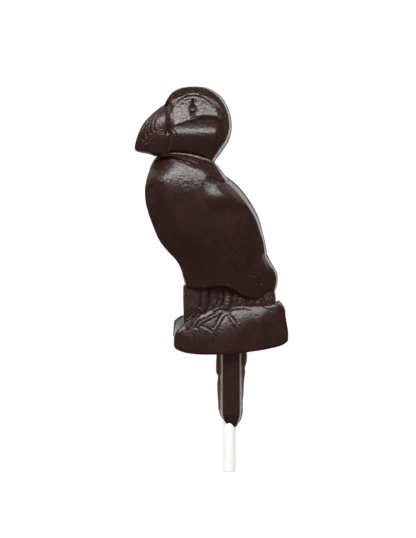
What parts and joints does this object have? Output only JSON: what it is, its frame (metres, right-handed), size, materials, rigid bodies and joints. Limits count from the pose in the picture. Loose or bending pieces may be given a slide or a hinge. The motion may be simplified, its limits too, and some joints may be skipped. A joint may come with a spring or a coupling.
{
  "type": "chocolate lollipop",
  "caption": "Dark chocolate lollipop: a moulded sea bird standing on a rock, solid with a flat back, cast round a straight paper stick.",
  "frame": {"origin": "centre of the bounding box, on the flat back that the lollipop lies on", "axes": "+Y from the stick's free end to the top of the head, +Z out of the moulded relief, +X from the bill towards the tail"},
  "size_m": [0.0512, 0.1286, 0.0127],
  "materials": {
    "dark_chocolate": "satin dark chocolate",
    "white_paper": "matte rolled paper"
  },
  "bodies": {
    "root": {"chocolate_bird": "dark_chocolate", "paper_stick": "white_paper"}
  },
  "joints": []
}
